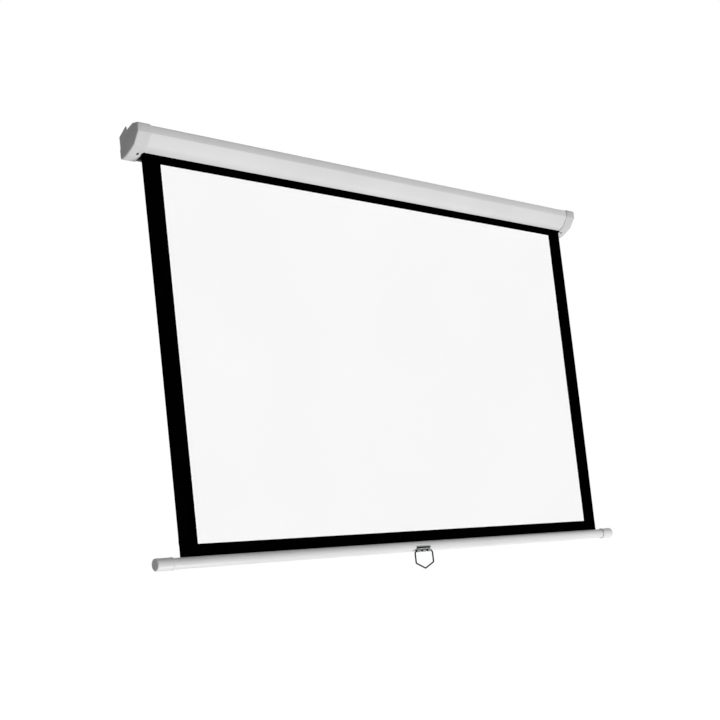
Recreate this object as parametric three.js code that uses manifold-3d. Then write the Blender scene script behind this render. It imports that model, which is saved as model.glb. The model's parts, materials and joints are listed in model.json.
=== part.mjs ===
// Pull-down projector screen for a wall. A spring roller turns in a faceted case and carries a
// bordered screen fabric with a weighted bar and a hinged pull ring.
// Millimetres, +Z up. X runs along the case, +Y points into the wall, and the origin lies on the
// wall plane at mid-length, level with the hanging slots. Everything is drawn from the fabric's
// plane (y = 0) and the level where the fabric leaves the case (z = 0), and then put in place.

import * as THREE from "three";
import { mergeVertices } from "three/addons/utils/BufferGeometryUtils.js";
import Module from "manifold-3d";

const wasm = await Module();
wasm.setup();

// Fits and cutting
const seatGap = 0.3; // between pieces that touch
const runGap = 0.25; // round the pull ring's wire
const overrun = 5; // how far a cut runs past what it cuts
const weldDistance = 1e-4;
const cornerSteps = 2;
const cornerRoomShare = 0.45; // the most of a side that a corner's arc may take
const domeSteps = 3;
const roundSteps = 24;
const fineSteps = 40;
const screwSteps = 12;
const barSteps = 28;

// Picture and fabric
const viewWidth = 1860;
const viewHeight = 1046;
const sideBorder = 68;
const topBorder = 24;
const bottomBorder = 33;
const fabricThickness = 0.4;
const fabricWidth = viewWidth + 2 * sideBorder;
const outerHeight = topBorder + viewHeight + bottomBorder;

// Place on the wall
const fabricToWall = 36;
const slotToHangingLevel = 30;

// Case: a roll-formed sheet with a slot along its underside
const caseOverhang = 45; // from the fabric's edge to the end cap's face
const caseFront = 48;
const caseTop = 66;
const caseBottom = 15.5;
const caseWall = 1.4;
const caseCorner = 3;
const slotFront = 5; // from the fabric to the slot's front lip
const lipHeight = 6;
const lipCorner = 1.8;

// End caps: moulded sleeves over the case's ends
const capWall = 2.2;
const capFit = 0.3;
const capEndWall = 3;
const capDome = 4;
const capLength = 48;
const capTaper = 3; // length of the thinner rim at the cap's mouth
const capRim = 1; // wall left at the mouth's edge
const capSlotStart = 43.5; // from the cap's face to its slot cut-out
const capSlotMargin = 2;
const bossRadius = 4;
const bossHeight = 4;
const ribThickness = 2;

// Bearing plates inside the caps, each with a foot that the cap's screw holds
const plateThickness = 2;
const plateFootReach = 38; // from the cap's face to the foot's end
const plateMargin = 0.6;
const plateRearShare = 0.74;
const plateLowShare = 0.3;
const plateScrewShares = [[0.12, 0.82], [0.6, 0.66]];

// Wall brackets
const bracketThickness = 2;
const bracketInset = 6; // from the cap's face to the side plate
const bracketWidth = 40;
const bracketTop = 47;
const bracketBottom = 14;
const bracketTipRise = 68.5;
const bracketTipDepth = 5; // from the fabric to the side plate's tip
const bracketTipWidth = 3;
const bracketCorner = 4;
const slotRadius = 2.6; // the hanging slot's narrow end
const keyRadius = 5.2; // and its wide end
const keyDrop = 9;
const keyInset = 27;

// Screws
const screwRadius = 1.7;
const screwHead = 3.6;
const screwHeadHeight = 1.9;
const screwLength = 9;
const plateScrewLength = 5;
const capScrewInset = 31;
const capScrewShare = 0.74;
const capRecess = 1.1;
const recessClearance = 0.7;
const bracketScrewInsets = [15, 29];
const bracketScrewDrop = 5;
const flatHeadHeight = 1.1;

// Roller
const tubeRadius = 13;
const tubeWall = 1;
const tubeReach = 4; // beyond the fabric's edge
const rollerRise = 31;
const restTurns = 2; // turns of fabric left on the tube with the screen down
const plugLength = 25;
const plugFlange = 2;
const cupRadius = 14.6;
const cupWall = 2;
const coverThickness = 1;

// Spring, dead spindle and ratchet
const spindleRadius = 3;
const spindleFlat = 4; // thickness across the spindle's two flats
const spindleTang = 2; // how far the spindle and the idler pin pass the plates
const springLength = 200;
const springRadius = 7.6;
const springWire = 0.8;
const springTurns = 19;
const springSteps = 8;
const springSides = 5;
const bossLength = 6;
const anchorRadius = 9;
const anchorLength = 14;
const hubRadius = 6.6;
const hubLength = 6;
const notchCount = 4;

// Pawls
const pawlLength = 7;
const pawlArm = 2;
const pawlEye = 2.2;
const pawlPin = 1.2;
const pinCircle = 9.6;
const pinSocket = 3;
const pawlClear = 0.45; // between a lifted pawl's nose and the hub
const notchDepth = 1.5;

// Idler bush
const bushWall = 1.7;
const bushFlange = 2.5;
const bushFlangeThickness = 1.2;

// Bottom bar: an extruded tube with a slot along its top
const barHeight = 31;
const barHalfDepth = 12.5;
const barWall = 1.3;
const barOverhang = 90; // from the fabric's edge to the bar's end
const barSlotHalf = 1.6;
const barLip = 4;
const barCapWall = 1.5;
const barCapLength = 60;
const barCapEndWall = 3;
const barCapDome = 3.5;
const barBead = 0.5;
const barBeadWidth = 4;

// Hem
const hemThickness = 0.8;
const hemRodRadius = 2.5;
const hemWall = 0.8;

// Pull ring and its bracket
const ringWire = 2.4;
const ringWidth = 90;
const ringHeight = 57.5;
const ringLegShare = 0.68; // where the legs end, down the ring
const ringShoulder = 6;
const ringBend = 4;
const ringSteps = 76;
const ringSides = 8;
const ringJoint = 0.6;
const ringEndRoom = 2.6; // straight wire past each side of the bracket
const clipThickness = 1.2;
const clipTopShare = 0.58; // where the plate starts, down the bar
const clipFootReach = 7; // least distance from its foot to the fabric's plane
const clipRoll = 1.9; // radius of its rolled top edge
const rollSteps = 4;
const knuckleGap = 11.5; // leaves room for a screw's head
const curlSteps = 18;
const curlTurn = (290 * Math.PI) / 180;
const clipScrewRadius = 1.3;
const clipScrewHead = 2.4;
const clipScrewHeadHeight = 1.2;
const clipScrewLength = 7;

// Outline of the case as shares of its depth, from the front, and of its height, from below.
// It runs clockwise with y to the right and z up, from the slot's front over the top.
const caseCornerShares = {
  lowFront: [0.28, 0.32],
  frontBottom: [0.014, 0.7],
  frontTop: [0, 0.97],
  topRear: [0.262, 1],
  rearUpper: [0.574, 0.864],
  rearMiddle: [0.777, 0.67],
  rearLower: [0.926, 0.485],
  rearTop: [1, 0.28],
  rearBottom: [1, 0],
  bottomRear: [0.89, 0],
  bottomFront: [0.695, 0.067],
};

// Worked out
const caseRear = fabricToWall - bracketThickness - seatGap - capWall - capFit;
const caseDepth = caseFront + caseRear;
const caseHeight = caseTop + caseBottom;
const halfLength = fabricWidth / 2 + caseOverhang;
const plateInset = capEndWall + bossHeight + seatGap;
const caseInset = plateInset + plateThickness + seatGap;
const woundRadius = tubeRadius + seatGap + restTurns * fabricThickness;
const rollerY = -(woundRadius + seatGap + fabricThickness / 2);
const tubeHalf = fabricWidth / 2 + tubeReach;
const plugRadius = tubeRadius - tubeWall - seatGap;
const spindleBore = spindleRadius + seatGap;
const cupDepth = hubLength + 2 * seatGap;
const cupFloor = -(seatGap + plugFlange);
const cupMouth = cupFloor - cupDepth;
const springInside = springRadius * Math.cos(Math.PI / springSteps) - springWire;
const springBoss = springInside - seatGap;
const barHalfLength = fabricWidth / 2 + barOverhang;
const hemRadius = hemRodRadius + seatGap + hemWall;
const hemDrop = barLip + seatGap + hemRadius;

// Flat drawing: points are [y, z] pairs, and a path may be open or closed.

function sum(p, q, share = 1) {
  return [p[0] + q[0] * share, p[1] + q[1] * share];
}

function between(p, q, share) {
  return [p[0] + (q[0] - p[0]) * share, p[1] + (q[1] - p[1]) * share];
}

function heading(p, q) {
  const length = Math.hypot(q[0] - p[0], q[1] - p[1]);
  return [(q[0] - p[0]) / length, (q[1] - p[1]) / length];
}

// The side that is outwards on a path that runs clockwise.
function outward(direction) {
  return [-direction[1], direction[0]];
}

function shifted(points, distance, closed) {
  const count = points.length;
  return points.map((p, i) => {
    const previous = points[(i + count - 1) % count];
    const next = points[(i + 1) % count];
    const after = outward(closed || i < count - 1 ? heading(p, next) : heading(previous, p));
    const before = outward(closed || i > 0 ? heading(previous, p) : heading(p, next));
    const scale = distance / (1 + before[0] * after[0] + before[1] * after[1]);
    return sum(sum(p, before, scale), after, scale);
  });
}

// Puts an arc in each corner, of one radius or of a radius for each point. An arc shrinks where
// the sides are too short for it.
function rounded(points, radius, closed) {
  const count = points.length;
  const radii = Array.isArray(radius) ? radius : points.map(() => radius);
  return points.flatMap((p, i) => {
    if (!closed && (i === 0 || i === count - 1)) return [p];
    const previous = points[(i + count - 1) % count];
    const next = points[(i + 1) % count];
    const a = heading(previous, p);
    const b = heading(p, next);
    const turn = Math.atan2(a[0] * b[1] - a[1] * b[0], a[0] * b[0] + a[1] * b[1]);
    const half = Math.tan(Math.abs(turn) / 2);
    const sides = [Math.hypot(...sum(p, previous, -1)), Math.hypot(...sum(next, p, -1))];
    const reach = Math.min(radii[i] * half, Math.min(...sides) * cornerRoomShare);
    const start = sum(p, a, -reach);
    const centre = sum(start, outward(a), (Math.sign(turn) * reach) / half);
    return arc(centre, start, turn, cornerSteps);
  });
}

function arc(centre, start, turn, steps) {
  const arm = sum(start, centre, -1);
  return Array.from({ length: steps + 1 }, (_, k) => {
    const angle = (turn * k) / steps;
    const c = Math.cos(angle);
    const s = Math.sin(angle);
    return sum(centre, [arm[0] * c - arm[1] * s, arm[0] * s + arm[1] * c]);
  });
}

// The section of a sheet bent along a path, with its thickness on the inward side.
function sheetSection(path, thickness) {
  return [...path, ...shifted(path, -thickness, false).reverse()];
}

// Solids

const alongX = new THREE.Matrix4().makeBasis(
  new THREE.Vector3(0, 1, 0), new THREE.Vector3(0, 0, 1), new THREE.Vector3(1, 0, 0));
const aboutX = new THREE.Matrix4().makeBasis(
  new THREE.Vector3(0, 1, 0), new THREE.Vector3(1, 0, 0), new THREE.Vector3(0, 0, -1));

function signedVolume(position, triangles) {
  const corner = (k) => new THREE.Vector3().fromArray(position, 3 * k);
  let total = 0;
  for (let i = 0; i < triangles.length; i += 3) {
    const [a, b, c] = [corner(triangles[i]), corner(triangles[i + 1]), corner(triangles[i + 2])];
    total += a.dot(b.cross(c));
  }
  return total;
}

// Welds a geometry, leaves out the slivers at a lathe's poles and turns its faces outwards.
function solid(geometry) {
  const bare = geometry.clone();
  bare.deleteAttribute("normal");
  bare.deleteAttribute("uv");
  const welded = mergeVertices(bare, weldDistance);
  const position = welded.attributes.position.array;
  const triangles = [];
  for (let i = 0; i < welded.index.count; i += 3) {
    const [a, b, c] = welded.index.array.slice(i, i + 3);
    if (a !== b && b !== c && c !== a) triangles.push(a, b, c);
  }
  if (signedVolume(position, triangles) < 0) triangles.reverse();
  return new wasm.Manifold(new wasm.Mesh({
    numProp: 3,
    vertProperties: new Float32Array(position),
    triVerts: new Uint32Array(triangles),
  }));
}

function extruded(outline, fromX, toX, hole) {
  const shape = new THREE.Shape(outline.map(([y, z]) => new THREE.Vector2(y, z)));
  if (hole) shape.holes.push(new THREE.Path(hole.map(([y, z]) => new THREE.Vector2(y, z))));
  const body = new THREE.ExtrudeGeometry(shape, { depth: toX - fromX, bevelEnabled: false });
  return solid(body.applyMatrix4(alongX).translate(fromX, 0, 0));
}

// A solid of revolution about X from [radius, x] pairs.
function turned(profile, steps = roundSteps) {
  const points = profile.map(([radius, x]) => new THREE.Vector2(radius, x));
  return solid(new THREE.LatheGeometry(points, steps).applyMatrix4(aboutX));
}

function rod(radius, fromX, toX, steps = roundSteps) {
  return turned([[0, fromX], [radius, fromX], [radius, toX], [0, toX]], steps);
}

function block([x0, y0, z0], [x1, y1, z1]) {
  const box = new THREE.BoxGeometry(x1 - x0, y1 - y0, z1 - z0);
  return solid(box.translate((x0 + x1) / 2, (y0 + y1) / 2, (z0 + z1) / 2));
}

// A closed body through clockwise outlines with equal point counts at rising x.
function lofted(rings) {
  const count = rings[0].points.length;
  const position = rings.flatMap(({ x, points }) => points.flatMap(([y, z]) => [x, y, z]));
  const index = [];
  for (let r = 0; r < rings.length - 1; r += 1) {
    for (let i = 0; i < count; i += 1) {
      const [a, b] = [r * count + i, r * count + ((i + 1) % count)];
      index.push(a, a + count, b, b, a + count, b + count);
    }
  }
  const last = (rings.length - 1) * count;
  const contour = rings[0].points.map(([y, z]) => new THREE.Vector2(y, z));
  for (const [a, b, c] of THREE.ShapeUtils.triangulateShape(contour, [])) {
    index.push(a, c, b, last + a, last + b, last + c);
  }
  const body = new THREE.BufferGeometry();
  body.setAttribute("position", new THREE.Float32BufferAttribute(position, 3));
  body.setIndex(index);
  return solid(body);
}

// A prism for caps. Its end at low x has a rounded rim, where the outline shrinks along a quarter
// arc, and the mouth gives the outlines at its other end.
function domedPrism(outline, dome, mouth) {
  const rings = Array.from({ length: domeSteps + 1 }, (_, k) => {
    const angle = ((domeSteps - k) / domeSteps) * (Math.PI / 2);
    const inset = dome * (1 - Math.cos(angle));
    return { x: dome * (1 - Math.sin(angle)), points: shifted(outline, -inset, true) };
  });
  return lofted([...rings, ...mouth]);
}

// Turns a solid made along X so that its +X end points along a [y, z] direction, at a place.
function aimed(body, direction, x, [y, z]) {
  const turn = new THREE.Quaternion().setFromUnitVectors(
    new THREE.Vector3(1, 0, 0), new THREE.Vector3(0, direction[0], direction[1]));
  const place = new THREE.Matrix4().compose(
    new THREE.Vector3(x, y, z), turn, new THREE.Vector3(1, 1, 1));
  return body.transform(place.elements);
}

function cut(body, ...tools) {
  return tools.reduce((rest, tool) => rest.subtract(tool), body);
}

function mirrored(body) {
  return body.scale([-1, 1, 1]);
}

// Outlines of the case and the bar

function casePlace([depthShare, heightShare]) {
  return [depthShare * caseDepth - caseFront, heightShare * caseHeight - caseBottom];
}

const caseCorners = Object.values(caseCornerShares).map(casePlace);
const lowFront = casePlace(caseCornerShares.lowFront);
const bottomFront = casePlace(caseCornerShares.bottomFront);
const bottomRear = casePlace(caseCornerShares.bottomRear);
const slotShare = (-slotFront - lowFront[0]) / (bottomFront[0] - lowFront[0]);
const frontLip = between(lowFront, bottomFront, slotShare);
const lowFacet = heading(bottomFront, lowFront);
const caseOutline = rounded(caseCorners, caseCorner, true);
const capOutline = shifted(caseOutline, capFit + capWall, true);
const capCavity = shifted(caseOutline, capFit, true);
const capScrewPlace = between(lowFront, bottomFront, capScrewShare);

// A place on the bar's oval outline, by the turn from its top over the rear.
function barPlace(turn) {
  return [barHalfDepth * Math.sin(turn), (barHeight / 2) * (Math.cos(turn) - 1)];
}

const barTurns = Array.from({ length: barSteps }, (_, k) => (2 * Math.PI * k) / barSteps);
const barOutline = barTurns.map(barPlace);

// Case and end caps

function makeCase() {
  const folds = caseCorners.slice(0, -1);
  const bends = [0, lipCorner, ...folds.slice(1).map(() => caseCorner), lipCorner, 0];
  const path = rounded([
    sum(frontLip, [0, lipHeight]), frontLip, ...folds, sum(bottomRear, [0, lipHeight]),
  ], bends, false);
  const reach = halfLength - caseInset;
  const shell = extruded(sheetSection(path, caseWall), -reach, reach);
  return cut(shell, ...[-1, 1].flatMap((side) =>
    bracketScrewInsets.map((inset) => bracketScrewHole(side * (halfLength - inset)))));
}

function capScrewHole(x) {
  const hole = rod(screwRadius + seatGap, -screwLength, overrun, screwSteps);
  return aimed(hole, outward(lowFacet), x, capScrewPlace);
}

function bracketScrewHole(x) {
  const hole = rod(screwRadius + seatGap, -screwLength, overrun, screwSteps);
  return aimed(hole, [1, 0], x, [caseRear, -bracketScrewDrop]);
}

// Drawn with its face at x = 0 and its mouth inboard, at capLength.
function makeEndCap() {
  const mouth = [
    { x: capLength - capTaper, points: capOutline },
    { x: capLength, points: shifted(capOutline, capRim - capWall, true) },
  ];
  const skin = cut(
    domedPrism(capOutline, capDome, mouth),
    extruded(capCavity, capEndWall, capLength + overrun));
  const posts = plateScrewShares.map((shares) =>
    rod(bossRadius, capEndWall / 2, capEndWall + bossHeight, screwSteps)
      .translate([0, ...casePlace(shares)]));
  const rib = block(
    [capEndWall / 2, rollerY - ribThickness / 2, -caseBottom],
    [capEndWall + bossHeight, rollerY + ribThickness / 2, rollerRise - spindleRadius - bossRadius]);
  const inside = extruded(capOutline, 0, capLength);
  const moulding = posts.reduce((body, post) => body.add(post), skin.add(rib.intersect(inside)));
  const slot = block(
    [capSlotStart, -slotFront - capSlotMargin, -caseBottom - capWall - overrun],
    [capLength + overrun, bottomRear[0] + capSlotMargin, frontLip[1] + capSlotMargin]);
  const recessRadius = screwHead + recessClearance;
  const facetOut = capFit + capWall;
  const recess = rod(recessRadius, facetOut - capRecess, facetOut + overrun, roundSteps);
  return cut(
    moulding, slot, aimed(recess, outward(lowFacet), capScrewInset, capScrewPlace),
    capScrewHole(capScrewInset), ...bracketScrewInsets.map(bracketScrewHole),
    ...plateScrewShares.map((shares) => plateScrewHole(shares)));
}

function plateScrewHole(shares) {
  const depth = bossHeight + capEndWall / 2;
  const hole = rod(screwRadius + seatGap, capEndWall + bossHeight - depth, caseInset + overrun, screwSteps);
  return hole.translate([0, ...casePlace(shares)]);
}

// Bearing plate, from the cap's face inboard. The window is the hole that the spindle or bush
// fills. A neck leads down from the plate to its foot, which lies in the case's slot.
function makePlate(window) {
  const outline = shifted(capCavity, -plateMargin, true);
  const inner = plateInset + plateThickness;
  const low = plateLowShare * caseHeight - caseBottom;
  const plate = block(
    [plateInset, -caseFront - overrun, low],
    [inner, plateRearShare * caseDepth - caseFront, caseTop + overrun]);
  const neck = block(
    [plateInset, 2 * seatGap - slotFront, -caseBottom - overrun],
    [plateFootReach, bottomFront[0], low + overrun]);
  const behindFoot = extruded(
    shifted(outline, -plateThickness, true), inner, plateFootReach + overrun);
  const blank = extruded(outline, plateInset, plateFootReach).intersect(plate.add(neck));
  return cut(blank, behindFoot, window, capScrewHole(capScrewInset),
    ...plateScrewShares.map(plateScrewHole));
}

function screw(radius, head, headHeight, length) {
  const chamfer = headHeight / 2;
  return turned([
    [0, -length], [radius / 2, -length], [radius, -length + radius], [radius, 0], [head, 0],
    [head, headHeight - chamfer], [head - chamfer, headHeight], [0, headHeight],
  ], screwSteps);
}

// Wall bracket: a plate against the wall and a side plate that follows the cap's rear
function makeBracket() {
  const wall = fabricToWall;
  const front = wall - bracketThickness;
  const flat = new THREE.Shape(rounded([
    [bracketInset, -bracketBottom], [bracketInset, bracketTop],
    [bracketInset + bracketWidth, bracketTop], [bracketInset + bracketWidth, -bracketBottom],
  ], bracketCorner, true).map(([x, z]) => new THREE.Vector2(x, z)));
  const body = new THREE.ExtrudeGeometry(flat, { depth: bracketThickness, bevelEnabled: false });
  const flange = solid(body.rotateX(Math.PI / 2).translate(0, wall, 0));
  const blank = extruded([
    [bracketTipDepth, bracketTipRise], [bracketTipDepth + bracketTipWidth, bracketTipRise],
    [wall, bracketTop], [wall, -bracketCorner], [front, -bracketCorner], [bracketTipDepth, 0],
  ], bracketInset, bracketInset + bracketThickness);
  const clear = extruded(shifted(capOutline, seatGap, true), 0, capLength);
  const key = keyhole(front - overrun, wall + overrun);
  const seats = bracketScrewInsets.map((inset) => {
    const well = rod(screwHead + seatGap, -flatHeadHeight - seatGap, overrun, roundSteps);
    const hole = rod(screwRadius + seatGap, -overrun, overrun, screwSteps);
    return aimed(well.add(hole), [1, 0], inset, [wall, -bracketScrewDrop]);
  });
  return cut(flange.add(cut(blank, clear)), key, ...seats);
}

function keyhole(fromY, toY) {
  const narrow = slotToHangingLevel;
  const wide = narrow - keyDrop;
  const pin = rod(slotRadius, fromY, toY, roundSteps);
  const mouth = rod(keyRadius, fromY, toY, roundSteps);
  const channel = block([keyInset - slotRadius, fromY, wide], [keyInset + slotRadius, toY, narrow]);
  return aimed(pin, [1, 0], keyInset, [0, narrow])
    .add(aimed(mouth, [1, 0], keyInset, [0, wide])).add(channel);
}

// Roller, spring and ratchet, drawn about the roller's axis. The spring end's pieces are drawn
// from the tube's end at x = 0, inboard along +X.

function makeTube() {
  const inner = tubeRadius - tubeWall;
  return turned([
    [inner, -tubeHalf], [tubeRadius, -tubeHalf], [tubeRadius, tubeHalf], [inner, tubeHalf],
    [inner, -tubeHalf],
  ], fineSteps);
}

function makeWoundFabric() {
  const inner = tubeRadius + seatGap;
  const reach = fabricWidth / 2;
  return turned([
    [inner, -reach], [woundRadius, -reach], [woundRadius, reach], [inner, reach], [inner, -reach],
  ], fineSteps);
}

const pinPlaces = [Math.PI / 2, -Math.PI / 2].map((angle) => ({
  angle,
  place: [pinCircle * Math.cos(angle), pinCircle * Math.sin(angle)],
}));

function makePawlCarrier() {
  const cup = turned([
    [spindleBore, plugLength + bossLength], [springBoss, plugLength + bossLength],
    [springBoss, plugLength], [plugRadius, plugLength], [plugRadius, -seatGap],
    [cupRadius, -seatGap], [cupRadius, cupMouth], [cupRadius - cupWall, cupMouth],
    [cupRadius - cupWall, cupFloor], [spindleBore, cupFloor],
    [spindleBore, plugLength + bossLength],
  ], fineSteps);
  const sockets = pinPlaces.map(({ place }) =>
    rod(pawlPin + seatGap, cupFloor - overrun, cupFloor + pinSocket, screwSteps)
      .translate([0, ...place]));
  return cut(cup, ...sockets);
}

function makePawlPin() {
  return rod(pawlPin, cupMouth + seatGap, cupFloor + pinSocket - seatGap, screwSteps);
}

function makeCover() {
  const near = cupMouth - seatGap;
  const far = near - coverThickness;
  const hole = spindleBore + seatGap;
  return turned([[hole, far], [cupRadius, far], [cupRadius, near], [hole, near], [hole, far]], fineSteps);
}

// The angle between a pawl's arm and the line to the roller's axis, with its nose at a radius.
function pawlAngle(noseRadius) {
  const squares = pinCircle ** 2 + pawlLength ** 2 - noseRadius ** 2;
  return Math.acos(squares / (2 * pinCircle * pawlLength));
}

const liftedAngle = pawlAngle(hubRadius + pawlClear);
const lockedAngle = pawlAngle(hubRadius - notchDepth);

// Pawl in its own place: pivot on the axis, arm along +Y, hub on the +Z side.
function makePawl() {
  const eye = rod(pawlEye, -hubLength / 2, hubLength / 2);
  const arm = extruded([
    [0, 0], [pawlLength, 0], [pawlLength, -pawlArm / 2], [pawlLength - pawlArm / 2, -pawlArm],
    [0, -pawlArm],
  ], -hubLength / 2, hubLength / 2);
  const bore = rod(pawlPin + seatGap, -hubLength, hubLength, screwSteps);
  return cut(eye.add(arm), bore);
}

// The notch is the space that a locked pawl needs, so its floor is a ramp when the roller
// turns the other way.
function makeHub() {
  const body = rod(hubRadius, -hubLength / 2, hubLength / 2, fineSteps);
  const room = block(
    [-hubLength, pawlEye + seatGap, -hubRadius],
    [hubLength, pawlLength + seatGap, seatGap]);
  const degrees = (angle) => (angle * 180) / Math.PI;
  const notches = Array.from({ length: notchCount }, (_, k) => {
    const start = pinPlaces[0].angle + (2 * Math.PI * k) / notchCount;
    return room
      .rotate([degrees(Math.PI - lockedAngle), 0, 0])
      .translate([0, pinCircle, 0])
      .rotate([degrees(start), 0, 0]);
  });
  return cut(body, ...notches, flattedRod(spindleBore, spindleFlat + 2 * seatGap, -hubLength, hubLength));
}

function flattedRod(radius, thickness, fromX, toX) {
  return rod(radius, fromX, toX).intersect(
    block([fromX, -thickness / 2, -radius], [toX, thickness / 2, radius]));
}

const tangStart = tubeHalf - (halfLength - plateInset + spindleTang);
const anchorStart = plugLength + springLength + 2 * seatGap;

function makeSpindle() {
  const end = anchorStart + anchorLength;
  const hubEnd = cupFloor - seatGap;
  return flattedRod(spindleRadius, spindleFlat, tangStart, end).add(rod(spindleRadius, hubEnd, end));
}

function makeAnchor() {
  const end = anchorStart + anchorLength;
  return turned([
    [spindleBore, anchorStart - bossLength], [springBoss, anchorStart - bossLength],
    [springBoss, anchorStart], [anchorRadius, anchorStart], [anchorRadius, end],
    [spindleBore, end], [spindleBore, anchorStart - bossLength],
  ]);
}

class Helix extends THREE.Curve {
  getPoint(t, target = new THREE.Vector3()) {
    const angle = 2 * Math.PI * springTurns * t;
    const reach = springLength - 2 * springWire;
    return target.set(
      springWire + reach * t, springRadius * Math.cos(angle), springRadius * Math.sin(angle));
  }
}

function wireSection(radius, sides) {
  const places = Array.from({ length: sides }, (_, k) => (2 * Math.PI * k) / sides);
  return new THREE.Shape(places.map((a) =>
    new THREE.Vector2(radius * Math.cos(a), radius * Math.sin(a))));
}

function makeSpring() {
  const steps = springTurns * springSteps;
  const coil = new THREE.ExtrudeGeometry(wireSection(springWire, springSides), {
    steps, extrudePath: new Helix(), bevelEnabled: false,
  });
  return solid(coil.translate(plugLength + seatGap, 0, 0));
}

// Idler plug and bush, drawn from the cap's face inboard along +X.
const idlerTubeEnd = halfLength - tubeHalf;

function makeIdlerPlug() {
  const face = idlerTubeEnd - seatGap;
  const foot = face - plugFlange;
  return turned([
    [0, plateInset - spindleTang], [spindleRadius, plateInset - spindleTang],
    [spindleRadius, foot], [cupRadius, foot], [cupRadius, face], [plugRadius, face],
    [plugRadius, idlerTubeEnd + plugLength], [0, idlerTubeEnd + plugLength],
  ], fineSteps);
}

function makeBush() {
  const outer = spindleBore + bushWall;
  const inboard = plateInset + plateThickness + seatGap;
  const flangeEnd = inboard + bushFlangeThickness;
  return turned([
    [spindleBore, plateInset], [outer, plateInset], [outer, inboard],
    [outer + bushFlange, inboard], [outer + bushFlange, flangeEnd], [spindleBore, flangeEnd],
    [spindleBore, plateInset],
  ]);
}

// Fabric: the hanging sheet, and the black band that stays with the bar

function makeFabric() {
  const half = fabricThickness / 2;
  const foot = bottomBorder - outerHeight + seatGap;
  return block([-fabricWidth / 2, -half, foot], [fabricWidth / 2, half, rollerRise]);
}

// The band runs down through the bar's slot and round the hem rod.
function makeBand() {
  const half = hemThickness / 2;
  const neck = Math.asin(half / hemRadius);
  const start = [-half, -hemDrop + hemRadius * Math.cos(neck)];
  const loop = arc([0, -hemDrop], start, 2 * (Math.PI - neck), roundSteps);
  const outline = [[half, bottomBorder], [-half, bottomBorder], ...loop];
  const eyeRadius = hemRodRadius + seatGap;
  const eye = arc([0, -hemDrop], [eyeRadius, -hemDrop], 2 * Math.PI, roundSteps).slice(1);
  return extruded(outline, -fabricWidth / 2, fabricWidth / 2, eye);
}

// Bottom bar, drawn with its top at z = 0

function makeBar() {
  const slotTurn = Math.asin(barSlotHalf / barHalfDepth);
  const clearOfLips = barTurns.filter((turn) => barPlace(turn)[1] < -barWall);
  const turns = [slotTurn, ...clearOfLips, 2 * Math.PI - slotTurn];
  const path = [[barSlotHalf, -barLip], ...turns.map(barPlace), [-barSlotHalf, -barLip]];
  const reach = barHalfLength - barCapEndWall - seatGap;
  const tube = extruded(sheetSection(path, barWall), -reach, reach);
  return cut(tube, ...[-1, 1].map((s) => clipScrewHole((s * knucklePitch) / 2)));
}

function makeBarCap() {
  const outer = shifted(barOutline, capFit + barCapWall, true);
  const bead = shifted(outer, barBead, true);
  const cavity = shifted(barOutline, capFit, true);
  const skin = domedPrism(outer, barCapDome, [{ x: barCapLength, points: outer }])
    .add(extruded(bead, barCapLength - barBeadWidth, barCapLength));
  return cut(skin, extruded(cavity, barCapEndWall, barCapLength + overrun));
}

// Pull ring's bracket: a plate that follows the bar's lower front, rolled over along its top and
// curled round the ring's wire along its foot. Its seat runs down the bar.
const clipSeat = shifted(
  barOutline.filter(([y, z]) => y < -clipFootReach && z < -clipTopShare * barHeight),
  seatGap, false).reverse();
const [clipTop] = clipSeat;
const clipFoot = clipSeat[clipSeat.length - 1];
const halfWay = (clipSeat.length - 1) / 2;
const clipMiddle = between(clipSeat[Math.floor(halfWay)], clipSeat[Math.ceil(halfWay)], 1 / 2);
const clipOut = outward(heading(clipFoot, clipTop));
const footOut = outward(heading(clipFoot, clipSeat[clipSeat.length - 2]));
const topOut = outward(heading(clipSeat[1], clipTop));
const curlRadius = ringWire + runGap + clipThickness;
const clipWidth = ringWidth - 2 * (ringWire + ringShoulder + ringEndRoom);
const knuckleWidth = (clipWidth - 2 * knuckleGap) / 3;
const knucklePitch = knuckleWidth + knuckleGap;
const ringAxis = sum(clipFoot, footOut, curlRadius);

function clipScrewHole(x) {
  const hole = rod(clipScrewRadius + seatGap, -clipScrewLength, overrun, screwSteps);
  return aimed(hole, clipOut, x, clipMiddle);
}

function makeClip() {
  const curl = arc(ringAxis, clipFoot, -curlTurn, curlSteps);
  const roll = arc(sum(clipTop, topOut, clipRoll), clipTop, Math.PI / 2, rollSteps).reverse();
  const plate = sheetSection([...roll, ...clipSeat.slice(1)], clipThickness);
  const knuckle = sheetSection([...clipSeat.slice(1, -1), ...curl], clipThickness);
  const knuckles = [-knucklePitch, 0, knucklePitch].map((middle) =>
    extruded(knuckle, middle - knuckleWidth / 2, middle + knuckleWidth / 2));
  const body = knuckles.reduce(
    (whole, one) => whole.add(one), extruded(plate, -clipWidth / 2, clipWidth / 2));
  return cut(body, ...[-1, 1].map((side) => clipScrewHole((side * knucklePitch) / 2)));
}

// The ring is one bent wire whose ends meet in the middle knuckle. Drawn about its hinge axis.
function makeRing() {
  const half = ringWidth / 2 - ringWire;
  const foot = ringHeight - ringWire;
  const legs = foot * ringLegShare;
  const right = [[half - ringShoulder, 0], [half, -ringShoulder], [half, -legs]];
  const left = right.map(([x, z]) => [-x, z]).reverse();
  const corners = [[ringJoint / 2, 0], ...right, [0, -foot], ...left, [-ringJoint / 2, 0]];
  const points = rounded(corners, ringBend, false).map(([x, z]) => new THREE.Vector3(x, 0, z));
  const wire = new THREE.CurvePath();
  points.slice(1).forEach((point, i) => wire.add(new THREE.LineCurve3(points[i], point)));
  const tube = new THREE.ExtrudeGeometry(wireSection(ringWire, ringSides), {
    steps: ringSteps, extrudePath: wire, bevelEnabled: false,
  });
  return solid(tube);
}

// Finishes

function finish(color, roughness, metalness = 0) {
  return new THREE.MeshStandardMaterial({ color, roughness, metalness });
}

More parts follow.
